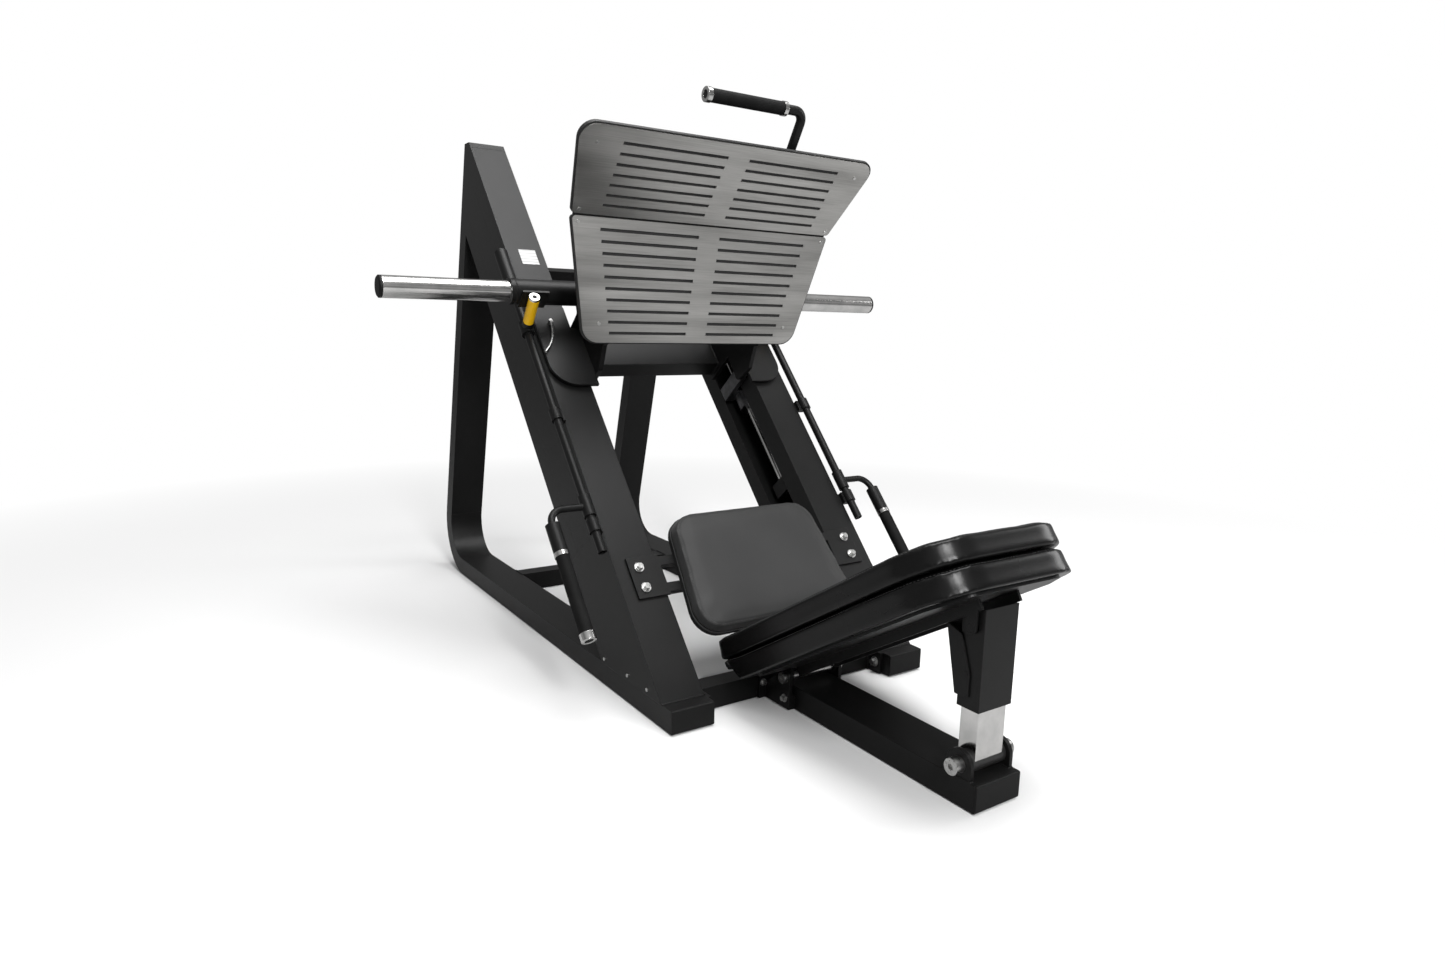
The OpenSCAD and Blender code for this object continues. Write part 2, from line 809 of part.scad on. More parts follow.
module back_pad_base() {
    color(vinyl) pad_3d() difference() {
        union() {
            translate([0, 0, -pad_t]) linear_extrude(layer_t) pad_outline(0);
            translate([0, 0, -pad_t + layer_t]) linear_extrude(pad_layer_gap) pad_outline(8);
        }
        translate([-pad_w, 0, -pad_t]) rotate([45, 0, 0])
            translate([0, -50, -50]) cube([2 * pad_w, 100, 50 + pad_chamfer * sqrt(0.5)]);
    }
}

bar_d = 24;
board_d = 5;

// Side view of the back pad: x runs to the head end, y stands out of the top face.
module pad_2d() {
    translate(pad_corner) mirror([1, 0]) rotate(pad_tilt) children();
}

lug_r = 12;
lug_t = 6.5;
lug_out = center_w / 2 + 1 + lug_t;

// Underside of the back pad, in its own frame: the board's outline and its two bars.
module pad_frame() {
    color(black) {
        pad_3d() translate([0, 0, -pad_t - board_d]) linear_extrude(board_d)
            rounded([[-lug_out, 58], [lug_out, 58], [lug_out, 105], [160, 105],
                [160, pad_len - 90], [110, pad_len - 22], [-110, pad_len - 22],
                [-160, pad_len - 90], [-160, 105], [-lug_out, 105]],
                [0, 0, 0, 20, 30, 30, 30, 30, 20, 0], 6);
        place() both() {
            side_view(bar_in, bar_t) difference() {
                union() {
                    pad_2d() translate([90, -pad_t - bar_d]) square([pad_len - 160, bar_d - board_d]);
                    translate(post_head) circle(lug_r);
                    intersection() {
                        translate(post_head - [lug_r, 0]) square([2 * lug_r, 60]);
                        pad_2d() translate([0, -pad_t - 80]) square([pad_len, 80 - board_d]);
                    }
                }
                translate(post_head) circle(pad_bolt_r);
            }
            side_view(lug_out - lug_t, lug_t) difference() {
                union() {
                    translate(pad_pivot) circle(lug_r + 2);
                    intersection() {
                        translate(pad_pivot - [lug_r + 2, 0]) square([2 * lug_r + 4, 60]);
                        pad_2d() translate([50, -pad_t - 80]) square([pad_len, 80 - board_d]);
                    }
                }
                translate(pad_pivot) circle(pad_bolt_r + fit);
            }
        }
    }
}

module pad_pin() {
    color(black) place() translate([0, post_head[0], post_head[1]])
        x_cylinder(-bar_in - bar_t, bar_in + bar_t, pad_bolt_r);
}

// ---- Telescopic post ----

outer_w = 84;
outer_t = 48;
inner_w = 70;
inner_t = 38;
wall = 3;
outer_z = 174;
inner_top = 255;
bush_r = 20;
loose = 2.6;

module post_inner() {
    color(chrome) place() difference() {
        translate([-inner_w / 2, post_foot[0] - inner_t / 2, post_foot[1]])
            cube([inner_w, inner_t, inner_top - post_foot[1]]);
        translate([wall - inner_w / 2, post_foot[0] - inner_t / 2 + wall, post_foot[1] + bush_r + 4])
            cube([inner_w - 2 * wall, inner_t - 2 * wall, inner_top]);
        translate([0, post_foot[0], post_foot[1]]) x_cylinder(-inner_w, inner_w, bush_r);
    }
}

module post_bushing() {
    color(black) place() translate([0, post_foot[0], post_foot[1]]) difference() {
        x_cylinder(0.5 - post_ear_in, post_ear_in - 0.5, bush_r);
        x_cylinder(-post_ear_in, post_ear_in, post_bolt_r + fit);
    }
}

module post_outer() {
    color(black) place() {
        difference() {
            side_view(-outer_w / 2, outer_w) polygon([
                [post_foot[0] - outer_t / 2, outer_z], [post_foot[0] + outer_t / 2, outer_z],
                [post_foot[0] + outer_t / 2, 328], [post_foot[0] - outer_t / 2, 357]]);
            translate([wall - outer_w / 2, post_foot[0] - outer_t / 2 + wall, outer_z - 1])
                cube([outer_w - 2 * wall, outer_t - 2 * wall, 300]);
            translate([0, post_head[0], post_head[1]])
                x_cylinder(-outer_w, outer_w, pad_bolt_r + loose);
        }
        both() translate([0, lever_at[0], lever_at[1]])
            x_cylinder(outer_w / 2 - wall, outer_w / 2 + lever_gap + lever_t + 0.5, lever_pin_r);
    }
}

lever_at = [-466, 237];
lever_pin_r = 4;
lever_t = 3;
lever_gap = 0.5;

// Side view of the lever's cheeks, from the pivot's tip up to the finger end.
module lever_cheek() {
    rounded([[-474, 194], [-444, 194], [-418, 314], [-452, 303], [-474, 236]],
        [4, 2, 2, 4, 6], 4);
}

module post_lever() {
    x0 = outer_w / 2 + lever_gap;
    color(black) place() {
        both() side_view(x0, lever_t) difference() {
            lever_cheek();
            translate(lever_at) circle(lever_pin_r + fit);
        }
        side_view(-x0, 2 * x0) intersection() {
            lever_cheek();
            translate([-444 + 0.5, 194]) rotate(-12.2) translate([-lever_t, -20]) square([20, 200]);
        }
    }
}

base_beams();
rear_bends();
rear_posts();
rail_tubes();
rail_webs();
side_covers();
end_caps();
feet();
cross_beams();
flange_plates();
frame_bolts();
center_beam();
pivot_ears();
pivot_bolts();
guide_shafts();
shaft_blocks();
seat_bracket();
seat_bolts();
seat_board();
seat_pad();
rod_bearings();
rating_plate();
carriage_sides();
carriage_wings();
carriage_beam();
linear_bearings();
grease_line();
axle_tube();
rest_plates();
sleeve_collars();
weight_sleeves();
sleeve_plugs();
foot_struts();
foot_boards();
foot_sheet_lower();
foot_sheet_upper();
foot_screws();
handle_tube();
handle_grip();
handle_rings();
left_rod();
left_arm();
left_grip();
left_rings();
left_stop();
left_bumper();
right_rod();
right_arm();
right_grip();
right_rings();
right_stop();
right_bumper();
back_pad_top();
back_pad_base();
pad_frame();
pad_pin();
post_inner();
post_bushing();
post_outer();
post_lever();
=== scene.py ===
"""Looks of the plate-loaded leg press: materials, sewn pads, welds, small details, light and camera.

Everything is in metres in the CAD frame: +Z up, +Y from the back rest to the tall posts.
"""

import json
import math

import bmesh
import bpy
from mathutils import Matrix, Vector
from mathutils.kdtree import KDTree

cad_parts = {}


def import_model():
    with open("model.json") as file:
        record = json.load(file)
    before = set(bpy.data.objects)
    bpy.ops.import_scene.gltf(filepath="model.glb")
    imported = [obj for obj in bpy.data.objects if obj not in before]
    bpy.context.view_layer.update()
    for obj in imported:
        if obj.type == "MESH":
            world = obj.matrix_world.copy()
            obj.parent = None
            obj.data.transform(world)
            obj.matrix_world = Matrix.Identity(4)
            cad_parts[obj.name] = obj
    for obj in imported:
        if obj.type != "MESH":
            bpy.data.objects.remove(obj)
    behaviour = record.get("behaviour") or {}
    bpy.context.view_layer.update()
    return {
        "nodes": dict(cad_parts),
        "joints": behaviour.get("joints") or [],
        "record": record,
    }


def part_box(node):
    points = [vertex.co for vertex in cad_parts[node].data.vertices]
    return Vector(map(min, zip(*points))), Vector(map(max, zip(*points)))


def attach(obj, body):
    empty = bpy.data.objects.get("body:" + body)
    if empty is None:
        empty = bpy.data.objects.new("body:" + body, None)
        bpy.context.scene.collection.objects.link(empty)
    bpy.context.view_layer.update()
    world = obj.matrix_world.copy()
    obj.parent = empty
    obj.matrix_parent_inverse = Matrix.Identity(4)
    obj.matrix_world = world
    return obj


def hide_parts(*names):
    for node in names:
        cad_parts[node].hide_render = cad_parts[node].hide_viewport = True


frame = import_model()
NODES = frame["nodes"]
SLOT_OF = {part["node"]: part["material_slot"] for part in frame["record"]["subparts"]}
JOINTS = {joint["name"]: joint for joint in frame["joints"]}

MM = 0.001
EPSILON = 1e-9


# ---- Material building blocks ----

def new_material(name):
    material = bpy.data.materials.new(name)
    material.use_nodes = True
    nodes = material.node_tree.nodes
    return material, nodes, material.node_tree.links, nodes["Principled BSDF"]


def object_coordinates(nodes, links, scale=(1, 1, 1)):
    """Object coordinates in metres, stretched by scale."""
    source = nodes.new("ShaderNodeTexCoord")
    mapping = nodes.new("ShaderNodeMapping")
    mapping.inputs["Scale"].default_value = scale
    links.new(source.outputs["Object"], mapping.inputs["Vector"])
    return mapping.outputs["Vector"]


def noise(nodes, links, vector, scale, detail=2.0, roughness=0.5):
    node = nodes.new("ShaderNodeTexNoise")
    node.inputs["Scale"].default_value = scale
    node.inputs["Detail"].default_value = detail
    node.inputs["Roughness"].default_value = roughness
    links.new(vector, node.inputs["Vector"])
    return node.outputs["Fac"]


def colour_ramp(nodes, links, value, stops):
    """A ramp through (place, colour) stops; a grey may be given as one number."""
    ramp = nodes.new("ShaderNodeValToRGB")
    elements = ramp.color_ramp.elements
    while len(elements) < len(stops):
        elements.new(0.5)
    for element, (place, colour) in zip(elements, stops):
        if not hasattr(colour, "__len__"):
            colour = (colour, colour, colour)
        element.position = place
        element.color = (*colour, 1)
    links.new(value, ramp.inputs["Fac"])
    return ramp.outputs["Color"]


def value_range(nodes, links, value, low, high):
    node = nodes.new("ShaderNodeMapRange")
    node.inputs["To Min"].default_value = low
    node.inputs["To Max"].default_value = high
    links.new(value, node.inputs["Value"])
    return node.outputs["Result"]


def bump(nodes, links, height, distance, strength=1.0, normal=None):
    node = nodes.new("ShaderNodeBump")
    node.inputs["Distance"].default_value = distance
    node.inputs["Strength"].default_value = strength
    links.new(height, node.inputs["Height"])
    if normal is not None:
        links.new(normal, node.inputs["Normal"])
    return node.outputs["Normal"]


def soft_edges(nodes, radius):
    """Normals that round a hard edge off over the radius."""
    node = nodes.new("ShaderNodeBevel")
    node.samples = 4
    node.inputs["Radius"].default_value = radius
    return node.outputs["Normal"]


def grown_material(name, colours, rough, cloud=6.0, metallic=0.0, grain=None, edge=None,
                   stretch=(1, 1, 1), sheen=0.0, specular=0.5):
    """A surface whose colour and roughness drift gently, with a fine grain in its relief.

    colours and rough are (low, high); cloud is the drift's scale; grain is (scale per metre,
    depth in metres), drawn out by stretch; edge is the radius that rounds hard corners off.
    """
    material, nodes, links, shader = new_material(name)
    place = object_coordinates(nodes, links)
    drift = noise(nodes, links, place, cloud, 4.0, 0.6)
    links.new(colour_ramp(nodes, links, drift, [(0.35, colours[0]), (0.65, colours[1])]),
              shader.inputs["Base Color"])
    links.new(value_range(nodes, links, drift, *rough), shader.inputs["Roughness"])
    shader.inputs["Metallic"].default_value = metallic
    shader.inputs["Sheen Weight"].default_value = sheen
    shader.inputs["Specular IOR Level"].default_value = specular
    normal = soft_edges(nodes, edge) if edge else None
    if grain:
        fine = noise(nodes, links, object_coordinates(nodes, links, stretch), grain[0], 3.0, 0.6)
        normal = bump(nodes, links, fine, grain[1], normal=normal)
    if normal is not None:
        links.new(normal, shader.inputs["Normal"])
    return material


# ---- Materials, one for each slot of the record ----

def powder_coat():
    """Semi-gloss black powder coat with its orange-peel skin."""
    return grown_material("powder_coat", (0.0045, 0.0070), (0.35, 0.45), cloud=4.0,
                          grain=(650, 0.00012), edge=1.6 * MM, specular=0.22)


def zinc():
    return grown_material("zinc_plate", ((0.5, 0.5, 0.49), (0.66, 0.66, 0.65)), (0.22, 0.36),
                          cloud=120, metallic=1.0, grain=(900, 0.00006), edge=0.6 * MM)


def chrome():
    """Hard chrome with a faint grain drawn out along x, as the sleeves lie."""
    return grown_material("chrome", ((0.6, 0.6, 0.59), (0.74, 0.73, 0.72)), (0.1, 0.2), cloud=25,
                          metallic=1.0, grain=(420, 0.00001), stretch=(0.05, 1, 1), edge=0.8 * MM)


def brushed_sheet():
    """Stainless sheet, brushed across its width. Its colour mixes the brushing's fine streaks with
    broad cloudy blotches of painted reflection, dark and bright, and its roughness follows the
    blotches.
    """
    material, nodes, links, shader = new_material("brushed_sheet")
    across = object_coordinates(nodes, links, (0.6, 60, 60))
    streaks = noise(nodes, links, across, 14, 4.0, 0.7)
    # Broad blotches of painted reflection: they darken and lighten the sheet's colour where mirrored
    # surroundings would show.
    painted_reflection_blotch = noise(nodes, links, object_coordinates(nodes, links, (1.2, 5, 9)), 2.2, 3.0, 0.5)
    tone = nodes.new("ShaderNodeMix")
    tone.data_type = "FLOAT"
    tone.inputs["Factor"].default_value = 0.55
    links.new(streaks, tone.inputs["A"])
    links.new(painted_reflection_blotch, tone.inputs["B"])
    links.new(colour_ramp(nodes, links, tone.outputs["Result"],
                          [(0.34, (0.3, 0.295, 0.285)), (0.52, (0.47, 0.465, 0.45)),
                           (0.7, (0.6, 0.59, 0.575))]), shader.inputs["Base Color"])
    links.new(value_range(nodes, links, painted_reflection_blotch, 0.24, 0.4), shader.inputs["Roughness"])
    shader.inputs["Metallic"].default_value = 1.0
    shader.inputs["Anisotropic"].default_value = 0.6
    links.new(bump(nodes, links, streaks, 0.00003, normal=soft_edges(nodes, 0.5 * MM)),
              shader.inputs["Normal"])
    return material


def moulded_rubber():
    return grown_material("moulded_rubber", (0.005, 0.008), (0.48, 0.6), cloud=9,
                          grain=(380, 0.00012), edge=2.0 * MM, specular=0.2)


def foam_grip():
    """Closed-cell foam: matte, with fine pores."""
    material, nodes, links, shader = new_material("foam_grip")
    place = object_coordinates(nodes, links)
    pores = nodes.new("ShaderNodeTexVoronoi")
    pores.inputs["Scale"].default_value = 900
    links.new(place, pores.inputs["Vector"])
    links.new(colour_ramp(nodes, links, noise(nodes, links, place, 30),
                          [(0.3, 0.003), (0.7, 0.006)]), shader.inputs["Base Color"])
    shader.inputs["Roughness"].default_value = 0.72
    shader.inputs["Specular IOR Level"].default_value = 0.14
    links.new(bump(nodes, links, pores.outputs["Distance"], 0.0002, 0.6), shader.inputs["Normal"])
    return material


def yellow_sleeve():
    return grown_material("yellow_sleeve", ((0.90, 0.50, 0.004), (0.96, 0.57, 0.008)),
                          (0.38, 0.48), cloud=40, grain=(260, 0.00008), specular=0.3)


def vinyl(name, colours, rough, pebble, depth, edge_sheen, specular):
    """Coated upholstery vinyl: a pebbled grain of rounded cells over a soft drift of tone.

    pebble is the number of cells per metre, and depth their relief in metres.
    """
    material, nodes, links, shader = new_material(name)
    place = object_coordinates(nodes, links)
    cells = nodes.new("ShaderNodeTexVoronoi")
    cells.feature = "SMOOTH_F1"
    cells.inputs["Scale"].default_value = pebble
    links.new(place, cells.inputs["Vector"])
    drift = noise(nodes, links, place, 5.0, 3.0, 0.55)
    links.new(colour_ramp(nodes, links, drift, [(0.35, colours[0]), (0.65, colours[1])]),
              shader.inputs["Base Color"])
    links.new(value_range(nodes, links, drift, *rough), shader.inputs["Roughness"])
    shader.inputs["Specular IOR Level"].default_value = specular
    shader.inputs["Sheen Weight"].default_value = edge_sheen
    shader.inputs["Sheen Roughness"].default_value = 0.5
    links.new(bump(nodes, links, cells.outputs["Distance"], depth, 0.5), shader.inputs["Normal"])
    return material


def seat_vinyl():
    return vinyl("seat_vinyl", (0.016, 0.022), (0.50, 0.60), pebble=900, depth=0.00022,
                 edge_sheen=0.10, specular=0.32)


def back_vinyl():
    return vinyl("back_vinyl", (0.0035, 0.0055), (0.24, 0.30), pebble=1100, depth=0.00008,
                 edge_sheen=0.0, specular=0.22)


def board():
    return grown_material("board_black", (0.008, 0.014), (0.55, 0.7), cloud=30,
                          grain=(300, 0.0001), edge=1.0 * MM)


def nylon():
    return grown_material("nylon_bushing", (0.012, 0.018), (0.4, 0.5), cloud=60,
                          grain=(500, 0.00005), edge=0.8 * MM)


def bearing_steel():
    return grown_material("bearing_steel", ((0.12, 0.12, 0.125), (0.18, 0.18, 0.185)),
                          (0.3, 0.42), cloud=60, metallic=1.0, grain=(700, 0.00006), edge=0.8 * MM)


def blank_label():
    """Pale label stock with faint grey rules across it and no lettering."""
    material, nodes, links, shader = new_material("blank_label")
    rules = nodes.new("ShaderNodeTexWave")
    rules.bands_direction = "Z"
    rules.inputs["Scale"].default_value = 42
    rules.inputs["Distortion"].default_value = 0.0
    links.new(object_coordinates(nodes, links), rules.inputs["Vector"])
    links.new(colour_ramp(nodes, links, rules.outputs["Fac"],
                          [(0.0, 0.26), (0.16, 0.42), (0.3, 0.5)]), shader.inputs["Base Color"])
    shader.inputs["Roughness"].default_value = 0.4
    return material


def thread():
    return grown_material("seam_thread", (0.010, 0.020), (0.6, 0.75), cloud=300,
                          grain=(1500, 0.0002), sheen=0.2)


# Near-black paint for the shallow bores' floor and walls: painted shade that stands in for the shade
# deep inside a hole.
def bore_shade_paint():
    return grown_material("bore_shade_paint", (0.004, 0.008), (0.7, 0.85), cloud=50,
                          grain=(400, 0.0001))


MATERIALS = {
    "frame_black": powder_coat(), "fasteners": zinc(), "chrome": chrome(),
    "foot_sheet": brushed_sheet(), "rubber_black": moulded_rubber(), "grip_rubber": foam_grip(),
    "yellow_sleeve": yellow_sleeve(), "seat_vinyl": seat_vinyl(), "back_vinyl": back_vinyl(),
    "board_black": board(), "bushing": nylon(), "bearing_steel": bearing_steel(),
    "label_white": blank_label(),
}
THREAD = thread()
BORE_SHADE = bore_shade_paint()


def finish_cad_nodes():
    """Every CAD node takes its slot's material."""
    for name, obj in NODES.items():
        obj.data.materials.clear()
        obj.data.materials.append(MATERIALS[SLOT_OF[name]])


# ---- Mesh helpers ----

SAME_POINT_DIGITS = 5
FLAT_WITHIN = 0.02 * MM


def new_object(name, data):
    obj = bpy.data.objects.new(name, data)
    bpy.context.scene.collection.objects.link(obj)
    return obj


def add_piece(name, mesh, body, slot, *materials):
    """A new object in the CAD frame that rides on a body and takes the given materials, or else its
    slot's material.
    """
    obj = new_object(name, mesh)
    for material in materials or (MATERIALS[slot],):
        mesh.materials.append(material)
    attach(obj, body)
    return obj


def mesh_from(name, build, smooth=True):
    """Runs build(bm) on a new bmesh and returns the mesh."""
    bm = bmesh.new()
    build(bm)
    bmesh.ops.recalc_face_normals(bm, faces=bm.faces)
    mesh = bpy.data.meshes.new(name)
    bm.to_mesh(mesh)
    bm.free()
    for polygon in mesh.polygons:
        polygon.use_smooth = smooth
    return mesh


def axes_matrix(origin, x, y, z):
    """The matrix whose local axes are x, y and z, at origin."""
    return Matrix.Translation(origin) @ Matrix((x, y, z)).transposed().to_4x4()


def matrix_along(origin, axis):
    """A matrix at origin whose local z runs along axis."""
    z = Vector(axis).normalized()
    hint = Vector((1, 0, 0)) if abs(z.x) < 0.9 else Vector((0, 1, 0))
    x = (hint - z * hint.dot(z)).normalized()
    return axes_matrix(origin, x, z.cross(x), z)


def solids(node):
    """The separate solids of a CAD node, each as a list of its points."""
    mesh = NODES[node].data
    keys = [tuple(round(c, SAME_POINT_DIGITS) for c in v.co) for v in mesh.vertices]
    parent = {key: key for key in keys}

    def root(key):
        while parent[key] != key:
            parent[key] = parent[parent[key]]
            key = parent[key]
        return key

    for edge in mesh.edges:
        a, b = (root(keys[i]) for i in edge.vertices)
        parent[a] = b
    groups = {}
    for key in sorted(parent):
        groups.setdefault(root(key), []).append(Vector(key))
    return list(groups.values())


def end_face(points, direction):
    """A solid's outermost flat face along a direction: its points in order, and their middle."""
    axis = Vector(direction).normalized()
    top = max(p.dot(axis) for p in points)
    face = [p for p in points if top - p.dot(axis) < FLAT_WITHIN]
    centre = sum(face, Vector()) / len(face)
    local = matrix_along(centre, axis).inverted()
    turn = {tuple(p): math.atan2(*(local @ p).yx) for p in face}
    return sorted(face, key=lambda p: turn[tuple(p)]), centre


def around(count):
    """Evenly spaced angles, once round."""
    return [2 * math.pi * k / count for k in range(count)]


def band(bm, a, b):
    """The ring of faces between two rings of points."""
    sides = len(a)
    for k in range(sides):
        bm.faces.new((a[k], a[(k + 1) % sides], b[(k + 1) % sides], b[k]))


def sweep(bm, path, radius_at, closed, sides=8):
    """A tube along a path; radius_at(i) is its radius at the path's point i."""
    count = len(path)
    rings = []
    for i, point in enumerate(path):
        ahead = path[(i + 1) % count] if closed else path[min(i + 1, count - 1)]
        behind = path[i - 1] if closed or i else path[0]
        turn = matrix_along(point, ahead - behind)
        radius = radius_at(i)
        rings.append([bm.verts.new(turn @ Vector((radius * math.cos(a), radius * math.sin(a), 0)))
                      for a in around(sides)])
    for i in range(count if closed else count - 1):
        band(bm, rings[i], rings[(i + 1) % count])
    if not closed:
        bm.faces.new(rings[0])
        bm.faces.new(list(reversed(rings[-1])))


def lathe(bm, profile, sides=40):
    """Turns an open (radius, height) profile about z and returns its rings of points."""
    rings = [[bm.verts.new((r * math.cos(a), r * math.sin(a), z)) for a in around(sides)]
             for r, z in profile]
    for a, b in zip(rings, rings[1:]):
        band(bm, a, b)
    return rings


def evenly(points, pitch, closed=True):
    """Points at about that pitch along a polyline."""
    corners = list(points) + ([points[0]] if closed else [])
    lengths = [(b - a).length for a, b in zip(corners, corners[1:])]
    total = sum(lengths)
    count = max(8, round(total / pitch))
    found, leg, start = [], 0, 0.0
    for i in range(count):
        at = total * i / count
        while leg < len(lengths) - 1 and at > start + lengths[leg]:
            start += lengths[leg]
            leg += 1
        found.append(corners[leg].lerp(corners[leg + 1],
                                       (at - start) / max(lengths[leg], EPSILON)))
    return found


# ---- Welds ----

BEAD = 2.6 * MM
SMALL_BEAD = 2.0 * MM
AXLE_BEAD = 2.2 * MM
RIPPLE = 5.2 * MM
RIPPLE_DIP = 0.16


def weld(name, corners, body, bead=BEAD, pitch=1.3 * MM):
    """A rippled weld bead round a closed outline, under the same paint as the tubes."""
    path = evenly(corners, pitch)
    steps = max(3, round(RIPPLE / pitch))

    def radius(i):
        return bead * (1 - RIPPLE_DIP * ((i % steps) / steps))

    mesh = mesh_from(name, lambda bm: sweep(bm, path, radius, closed=True))
    return add_piece(name, mesh, body, "frame_black")


def circle_points(centre, axis, radius, count=48):
    turn = matrix_along(centre, axis)
    return [turn @ Vector((radius * math.cos(a), radius * math.sin(a), 0)) for a in around(count)]


def weld_frame():
    """Beads where the cross beams, the centre beam, the rails and the post ears are welded on."""
    for i, beam in enumerate(solids("cross_beams")):
        for side in (-1, 1):
            corners, _ = end_face(beam, (side, 0, 0))
            weld(f"weld_cross_{i}_{'left' if side < 0 else 'right'}", corners, "frame")
    corners, _ = end_face(solids("center_beam")[0], (0, 1, 0))
    weld("weld_center_beam", corners, "frame")
    for i, tube in enumerate(solids("rail_tubes")):
        corners, _ = end_face(tube, (0, 0, -1))
        weld(f"weld_rail_foot_{i}", corners, "frame")
    beam_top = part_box("base_beams")[1].z
    for i, ear in enumerate(solids("pivot_ears")):
        corners, centre = end_face(ear, (0, 0, -1))
        if abs(centre.z - beam_top) < MM:
            weld(f"weld_post_ear_{i}", corners, "frame", SMALL_BEAD)


def weld_carriage():
    """Beads round the carriage's cross beam and round the axle at its plates and collars."""
    beam = solids("carriage_beam")[0]
    axle = solids("axle_tube")[0]
    axle_low, axle_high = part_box("axle_tube")
    radius = (axle_high.z - axle_low.z) / 2
    plate_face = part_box("carriage_sides")[1].x
    for side, word in ((-1, "left"), (1, "right")):
        corners, _ = end_face(beam, (side, 0, 0))
        weld(f"weld_carriage_beam_{word}", corners, "carriage")
        _, centre = end_face(axle, (side, 0, 0))
        for place, x in (("plate", plate_face * side), ("collar", centre.x)):
            ring = circle_points(Vector((x, centre.y, centre.z)), (1, 0, 0), radius)
            weld(f"weld_axle_{place}_{word}", ring, "carriage", AXLE_BEAD)


# ---- Small turned details ----

# The bores' shares of the radius of the end that they open.
GRIP_BORE = 0.58
SCREW_BORE = 0.42
HANDLE_BORE = 0.55


def socket_mouth(name, solid, direction, hole, body, slot, rise=1.4 * MM):
    """A chamfered rim on the round end of a CAD solid, with a shallow bore painted near black:
    painted shade of a deep hole.

    hole is the bore's share of the end's radius, and rise is the rim's height.
    """
    face, centre = end_face(solid, direction)
    radius = max((p - centre).length for p in face)
    bore = radius * hole
    chamfer = 0.9 * MM
    bore_chamfer = 0.5 * MM
    bore_floor = 0.25 * MM

    def build(bm):
        rings = lathe(bm, [(radius, 0.0), (radius, rise - chamfer), (radius - chamfer, rise),
                           (bore + bore_chamfer, rise), (bore, rise - bore_chamfer),
                           (bore, bore_floor)])
        bm.faces.new(rings[-1])
        inside = rings[-1] + rings[-2]
        # The bore's wall and floor take the near-black painted shade.
        for polygon in bm.faces:
            if all(v in inside for v in polygon.verts):
                polygon.material_index = 1
        bm.faces.new(list(reversed(rings[0])))
        bmesh.ops.transform(bm, matrix=matrix_along(centre, direction), verts=bm.verts)

    return add_piece(name, mesh_from(name, build, smooth=False), body, slot,
                     MATERIALS[slot], BORE_SHADE)


def turned_details():
    """Open ends of the grips' rings and the screws on the stops' ends."""
    rail_up = Vector(JOINTS["carriage_slide"]["axis"])
    for word in ("left", "right"):
        body = f"{word}_safety"
        rings = solids(f"{word}_rings")
        low = min(rings, key=lambda s: min(p.dot(rail_up) for p in s))
        socket_mouth(f"{word}_grip_mouth", low, -rail_up, GRIP_BORE, body, "chrome")
        stop = max(rings, key=lambda s: max(p.z for p in s))
        sleeve = solids(f"{word}_bumper")[0]
        outward = sum(stop, Vector()) / len(stop) - sum(sleeve, Vector()) / len(sleeve)
        socket_mouth(f"{word}_stop_screw", stop, outward, SCREW_BORE, body, "chrome")
    rings = solids("handle_rings")
    outer = min(rings, key=lambda s: min(p.x for p in s))
    socket_mouth("handle_mouth", outer, (-1, 0, 0), HANDLE_BORE, "carriage", "chrome")


# ---- Sewn pads ----

PAD_TILT = math.radians(31.2)
PAD_LAYER = 47.5 * MM
VOXEL = 6 * MM
BOARD_SKIN = 4 * MM
SWELL_STEPS = 20
EVENING_ROUNDS = 8
SEAM_PITCH = 2 * MM
SEAM_DEPTH = 1.5 * MM
SEAM_WIDTH = 3.2 * MM
STITCH_LIFT = 0.4
STITCH_FLAT = 0.6
STITCH_END = 0.6
ALONG = Vector((0, -math.cos(PAD_TILT), math.sin(PAD_TILT)))
OUT_OF_PAD = Vector((0, math.sin(PAD_TILT), math.cos(PAD_TILT)))


def rounded_outline(corners, radii, steps=10):
    """An outline (x, y) whose corners are arcs."""
    points = []
    count = len(corners)
    for i, radius in enumerate(radii):
        a, b, c = (Vector(corners[k % count]) for k in (i - 1, i, i + 1))
        to_a, to_c = (a - b).normalized(), (c - b).normalized()
        half = to_a.angle(to_c) / 2
        middle = b + (to_a + to_c).normalized() * radius / math.sin(half)
        start = b + to_a * radius / math.tan(half) - middle
        turn = math.pi - 2 * half
        turn *= 1 if (b - a).cross(c - b) > 0 else -1
        for k in range(steps + 1):
            points.append(middle + Matrix.Rotation(turn * k / steps, 2) @ start)
    return points


def shrink_to_inner(mesh, inset):
    """Draws a mesh in towards its box's middle, so that it can swell back to its size."""
    low = Vector([min(v.co[k] for v in mesh.vertices) for k in range(3)])
    high = Vector([max(v.co[k] for v in mesh.vertices) for k in range(3)])
    middle, size = (low + high) / 2, high - low
    for v in mesh.vertices:
        v.co = middle + Vector([(v.co[k] - middle[k]) * (1 - 2 * inset[k] / size[k])
                                for k in range(3)])


def applied(obj):
    """The object's mesh with its modifiers applied."""
    bpy.context.view_layer.update()
    graph = bpy.context.evaluated_depsgraph_get()
    return bpy.data.meshes.new_from_object(obj.evaluated_get(graph))


def with_modifiers_applied(obj):
    mesh = applied(obj)
    obj.modifiers.clear()
    obj.data = mesh
    return mesh


def soften(mesh, rounds):
    """Rounds the edges of a voxel mesh off."""
    bm = bmesh.new()
    bm.from_mesh(mesh)
    for _ in range(rounds):
        bmesh.ops.smooth_vert(bm, verts=bm.verts, factor=0.5, use_axis_x=True, use_axis_y=True,
                              use_axis_z=True)
    bm.to_mesh(mesh)
    bm.free()


